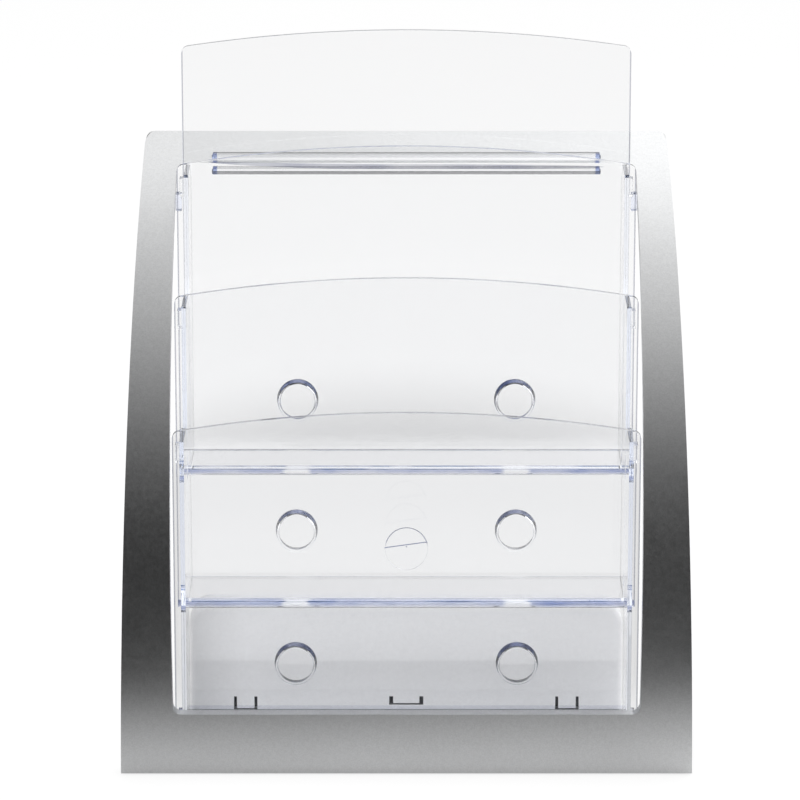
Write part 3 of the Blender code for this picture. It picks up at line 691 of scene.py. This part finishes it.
# ---------------------------------------------------------------------- pockets
def boss(ob, y_wall):
    for s in (-1, 1):
        ob = boolean(ob, cone_y("b", s * BOSS_X, BOSS_Z, BOSS_R_TIP, BOSS_R,
                                y_wall - BOSS_OUT, y_wall + WALL / 2), 'UNION')
        ob = boolean(ob, cone_y("c", s * BOSS_X, BOSS_Z, BOSS_R_TIP - BOSS_WALL,
                                BOSS_R - BOSS_WALL, y_wall - BOSS_OUT + BOSS_WALL,
                                y_wall + WALL + 1 * MM), 'DIFFERENCE')
    return ob


def pocket(name, node, tier, mat, body, with_back, gate):
    p = prism(name, arched_outline(PANEL_HALF, PANEL_CORNER, PANEL_CROWN, PANEL_R,
                                   z0=-SKIRT if tier else 0.0), WALL / 2, 'xz')
    p.data.transform(Matrix.Translation((0, WALL / 2, 0)))
    rear_up = DEPTH - GAP
    rear_low = DEPTH + WALL if with_back else rear_up
    side = [(0.6 * MM, 0.0), (rear_low, 0.0)]
    if with_back:
        side += [(rear_low, BACK_H), (rear_up, BACK_H)]
    else:
        # the floor stops short of the header panel, so it lifts past the header's bosses
        side = [(0.6 * MM, 0.0), (DEPTH - NOTCH_DEEP, 0.0), (DEPTH - NOTCH_DEEP, WALL + 1 * MM),
                (rear_up, WALL + 1 * MM)]
    side += [(rear_up, SIDE_H - 8 * MM), (rear_up - 8 * MM, SIDE_H), (0.6 * MM, SIDE_H)]
    tray = prism("tray", side, SIDE_HALF, 'yz')
    inner = box("inner", -(SIDE_HALF - WALL), SIDE_HALF - WALL, WALL,
                DEPTH if with_back else DEPTH + 9 * MM, WALL, 0.3)
    tray = boolean(tray, inner, 'DIFFERENCE')
    p = boolean(p, tray, 'UNION')
    if with_back:
        p = boss(p, DEPTH)
    for s in (-1, 1):
        for z0, z1 in ((0.0, 11.5 * MM), (SIDE_H - 12 * MM, SIDE_H - 3 * MM)):
            a, b = sorted((s * (SIDE_HALF - 0.5 * MM), s * (SIDE_HALF + HOOK_OUT)))
            p = boolean(p, box("hook", a, b, 6.0 * MM, 11.0 * MM, z0, z1), 'UNION')
    if gate:
        p = boolean(p, cone_y("gate", 0.0, GATE_Z, GATE_R, GATE_R, WALL / 2, WALL + GATE_T),
                    'UNION')
    shear(p)
    return put(p, name, mat, body, [node],
               (0, P_Y + tier * TIER_D, P_Z + tier * TIER_H + FOOT_T), bevel=0.28, segs=3,
               keep_crisp=(lambda c: gate and abs(c.x) < GATE_R + 1 * MM
                           and abs(c.z - GATE_Z) < GATE_R + 1 * MM),
               crown_blue=0.3 if with_back else 0.8)


pocket("tray_lower", "pocket_lower", 0, clear_l, "pocket_lower_body", True, True)
pocket("tray_middle", "pocket_middle", 1, clear_m, "pocket_middle_body", True, False)
pocket("tray_upper", "pocket_upper", 2, clear_u, "pocket_upper_body", False, False)

# ----------------------------------------------------------------- header panel
head = prism("head", arched_outline(HEAD_HALF, HEAD_CORNER, HEAD_CROWN, PANEL_R), WALL / 2, 'xz')
head.data.transform(Matrix.Translation((0, WALL / 2, 0)))
HEAD_Z = P_Z + 2 * TIER_H
for rz, rd in ((RIB_Z_UP, RIB_DEPTH_UP), (RIB_Z_LOW, RIB_DEPTH_LOW)):
    head = boolean(head, box("rib", -RIB_HALF, RIB_HALF, WALL / 2, WALL + rd,
                             rz - HEAD_Z, rz - HEAD_Z + RIB_T), 'UNION')
head = boss(head, 0.0)
shear(head)
put(head, "header", clear_h, "frame", ["header_panel"],
    (0, P_Y + 2 * TIER_D + DEPTH, HEAD_Z + FOOT_T), bevel=0.28)

for s, nm in ((-1, "side_clip_left"), (1, "side_clip_right")):
    lo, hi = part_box(nm)
    c = box(nm, lo.x, hi.x, lo.y - Y_SHIFT, hi.y - Y_SHIFT, lo.z, hi.z)
    put(c, nm + "_block", clear_c, "frame", [nm], bevel=0.6)

# ---------------------------------------------------------------- floor, light
bm = bmesh.new()
bmesh.ops.create_grid(bm, x_segments=8, y_segments=8, size=6.0)
me = bpy.data.meshes.new("floor")
bm.to_mesh(me)
bm.free()
floor = bpy.data.objects.new("floor", me)
scene.collection.objects.link(floor)
fm = bpy.data.materials.new("floor_paper")
nt, nodes, links = nodes_of(fm)
b = nodes["Principled BSDF"]
tc = nodes.new("ShaderNodeTexCoord").outputs["Object"]
sep = nodes.new("ShaderNodeSeparateXYZ")
links.new(tc, sep.inputs[0])
lp = nodes.new("ShaderNodeLightPath")
# painted reflection: for reflection rays the table is painted dim in front of the object, as if it fell away to a dim
# room
front = nodes.new("ShaderNodeMapRange")
front.interpolation_type = 'SMOOTHSTEP'
front.inputs["From Min"].default_value = -0.40
front.inputs["From Max"].default_value = -0.10
front.inputs["To Min"].default_value = 0.034
front.inputs["To Max"].default_value = 0.46
links.new(sep.outputs["Y"], front.inputs["Value"])
grain = noise(nt, tc, 260.0, 4.0, 0.6)
paper = remap(nt, grain, 0.885, 0.905)
vis = math_node(nt, 'MAXIMUM', lp.outputs["Is Camera Ray"], lp.outputs["Is Diffuse Ray"])
vis = math_node(nt, 'MAXIMUM', vis, lp.outputs["Is Transmission Ray"])
mixf = nodes.new("ShaderNodeMix")
mixf.data_type = 'FLOAT'
links.new(vis, mixf.inputs["Factor"])
# painted reflection: a left-right tilt and a brighter strip close to the object's front, seen only in reflections
slant = remap(nt, sep.outputs["Y"], 1.7, 0.35, -0.32, -0.10)
lr = math_node(nt, 'ADD', 1.0, math_node(nt, 'MULTIPLY', sep.outputs["X"], slant))
near = remap(nt, sep.outputs["Y"], 1.0, 1.28, -0.15, -0.10)
lr = math_node(nt, 'MULTIPLY', lr, near)
links.new(math_node(nt, 'MULTIPLY', front.outputs["Result"], lr), mixf.inputs["A"])
links.new(paper, mixf.inputs["B"])
cmb = nodes.new("ShaderNodeCombineXYZ")
links.new(cmb.outputs[0], b.inputs["Base Color"])
b.inputs["Roughness"].default_value = 0.85
b.inputs["Specular IOR Level"].default_value = 0.1
# soft shade under and behind the object
px = math_node(nt, 'DIVIDE', sep.outputs["X"], 0.30)
py = math_node(nt, 'DIVIDE', math_node(nt, 'SUBTRACT', sep.outputs["Y"], 0.10), 0.42)
far = math_node(nt, 'SQRT', math_node(nt, 'ADD', math_node(nt, 'MULTIPLY', px, px),
                                      math_node(nt, 'MULTIPLY', py, py)))
pool = nodes.new("ShaderNodeMapRange")
pool.interpolation_type = 'SMOOTHSTEP'
pool.inputs["From Min"].default_value = 0.60
pool.inputs["From Max"].default_value = 1.0
pool.inputs["To Min"].default_value = 1.0
pool.inputs["To Max"].default_value = 0.0
links.new(far, pool.inputs["Value"])
behind = nodes.new("ShaderNodeMapRange")
behind.interpolation_type = 'SMOOTHSTEP'
behind.inputs["From Min"].default_value = -0.08
behind.inputs["From Max"].default_value = 0.04
links.new(sep.outputs["Y"], behind.inputs["Value"])
shade = math_node(nt, 'MULTIPLY', pool.outputs["Result"], behind.outputs["Result"])
shade = math_node(nt, 'MULTIPLY', shade, math_node(nt, 'SUBTRACT', 1.0, lp.outputs["Is Camera Ray"]))
deep = nodes.new("ShaderNodeMix")
deep.data_type = 'FLOAT'
links.new(vis, deep.inputs["Factor"])
deep.inputs["A"].default_value = 0.75
deep.inputs["B"].default_value = 0.40
tone = math_node(nt, 'MULTIPLY', mixf.outputs["Result"],
                 math_node(nt, 'SUBTRACT', 1.0, math_node(nt, 'MULTIPLY', shade, deep.outputs["Result"])))
for i in range(3):
    links.new(tone, cmb.inputs[i])
# the table glows as if lit from below, so it reads near white; the glow also carries the painted soft shadow and
# painted extra light
glow = nodes.new("ShaderNodeEmission")
glow.inputs["Color"].default_value = (1.0, 1.0, 1.0, 1)
seen = math_node(nt, 'MAXIMUM', lp.outputs["Is Camera Ray"], lp.outputs["Is Transmission Ray"])
# painted light: the floor glows brighter where it is seen through many plastic layers
depth = nodes.new("ShaderNodeMapRange")
depth.inputs["From Min"].default_value = 2.0
depth.inputs["From Max"].default_value = 8.0
depth.inputs["To Min"].default_value = 0.98
depth.inputs["To Max"].default_value = 1.12
links.new(lp.outputs["Transmission Depth"], depth.inputs["Value"])
# painted shadow: the glow is dimmed in the soft shade under and behind the object
dim = math_node(nt, 'SUBTRACT', 1.0, math_node(nt, 'MULTIPLY', shade, 0.20))
links.new(math_node(nt, 'MULTIPLY', depth.outputs["Result"], dim), glow.inputs["Strength"])
fmix = nodes.new("ShaderNodeMixShader")
links.new(math_node(nt, 'MULTIPLY', seen, 0.84), fmix.inputs["Fac"])
links.new(b.outputs["BSDF"], fmix.inputs[1])
links.new(glow.outputs["Emission"], fmix.inputs[2])
links.new(fmix.outputs["Shader"], nodes["Material Output"].inputs["Surface"])
me.materials.append(fm)

world = bpy.data.worlds.new("studio")
scene.world = world
world.use_nodes = True
nt = world.node_tree
bg = nt.nodes["Background"]
tcw = nt.nodes.new("ShaderNodeTexCoord").outputs["Generated"]
sepw = nt.nodes.new("ShaderNodeSeparateXYZ")
nt.links.new(tcw, sepw.inputs[0])
# angle round the left-right axis: 0 front horizon, 90 overhead, 180 rear horizon
turn = math_node(nt, 'ARCTAN2', sepw.outputs["Z"], math_node(nt, 'MULTIPLY', sepw.outputs["Y"], -1.0))
turn = math_node(nt, 'MULTIPLY', math_node(nt, 'ADD', math_node(nt, 'DIVIDE', turn, pi), 1.0), 0.5)
ramp = nt.nodes.new("ShaderNodeValToRGB")
nt.links.new(turn, ramp.inputs["Fac"])
SKY = 1.8
stops = [(-180, 0.90), (-20, 0.10), (0, 0.08), (7, 0.05), (14, 0.03), (22, 0.032), (29, 0.062), (37, 0.125),
         (45, 0.25), (53, 0.40), (61, 0.59), (69, 0.75), (77, 0.88), (86, 1.06), (94, 1.38),
         (104, 1.62), (114, 1.65), (126, 1.30), (145, 1.10), (165, 1.05), (180, 0.90)]
cr = ramp.color_ramp
for i, (ang, v) in enumerate(stops):
    pos = (ang / 180 + 1) / 2
    if i == 0:
        e = cr.elements[0]
        e.position = pos
    elif i == len(stops) - 1:
        e = cr.elements[-1]
        e.position = pos
    else:
        e = cr.elements.new(pos)
    e.color = (v / SKY, v / SKY, v / SKY, 1)
lean = remap(nt, turn, 3.2, 1.7, (30 / 180 + 1) / 2, (75 / 180 + 1) / 2)
side_gain = math_node(nt, 'ADD', 1.0, math_node(nt, 'MULTIPLY', sepw.outputs["X"], lean))
side_gain = math_node(nt, 'MINIMUM', math_node(nt, 'MAXIMUM', side_gain, 0.55), 1.5)
scl = nt.nodes.new("ShaderNodeVectorMath")
scl.operation = 'SCALE'
nt.links.new(ramp.outputs["Color"], scl.inputs[0])
nt.links.new(math_node(nt, 'MULTIPLY', side_gain, SKY), scl.inputs["Scale"])
lpw = nt.nodes.new("ShaderNodeLightPath")
cam_mix = nt.nodes.new("ShaderNodeMix")
cam_mix.data_type = 'RGBA'
nt.links.new(lpw.outputs["Is Camera Ray"], cam_mix.inputs["Factor"])
nt.links.new(scl.outputs["Vector"], cam_mix.inputs["A"])
cam_mix.inputs["B"].default_value = (1.0, 1.0, 1.0, 1)
nt.links.new(cam_mix.outputs["Result"], bg.inputs["Color"])
bg.inputs["Strength"].default_value = 1.0

ld = bpy.data.lights.new("overhead", 'AREA')
ld.shape = 'RECTANGLE'
ld.size, ld.size_y = 2.4, 1.6
ld.energy = 13.0
lo_ = bpy.data.objects.new("overhead", ld)
lo_.location = (0.15, 0.10, 1.9)
lo_.visible_glossy = False
lo_.visible_transmission = False
scene.collection.objects.link(lo_)

fd = bpy.data.lights.new("front_fill", 'AREA')
fd.shape = 'RECTANGLE'
fd.size, fd.size_y = 1.6, 1.2
fd.energy = 37.0
ff = bpy.data.objects.new("front_fill", fd)
ff.location = (-0.45, -1.75, 1.35)
ff.rotation_euler = (Vector((0, 0, 0.12)) - ff.location).to_track_quat('-Z', 'Y').to_euler()
ff.visible_glossy = False
ff.visible_transmission = False
scene.collection.objects.link(ff)

# ------------------------------------------------------------------- the camera
CAM_E, CAM_D, CAM_F = radians(21.0), 1588.0 * MM, 3188.0
tgt = Vector((-6.5 * CAM_D / CAM_F, 60.0 * MM + Y_SHIFT, 177.16 * MM + FOOT_T))
cd = bpy.data.cameras.new("camera")
cd.sensor_width = 36.0
cd.lens = CAM_F / 800.0 * 36.0
cd.clip_end = 50.0
cam = bpy.data.objects.new("camera", cd)
cam.location = tgt + Vector((0, -cos(CAM_E), sin(CAM_E))) * CAM_D
cam.rotation_euler = (pi / 2 - CAM_E, 0, 0)
scene.collection.objects.link(cam)
scene.camera = cam

scene.view_settings.view_transform = 'Standard'
scene.cycles.max_bounces = 24
scene.cycles.transmission_bounces = 24
scene.cycles.glossy_bounces = 8
scene.cycles.transparent_max_bounces = 24
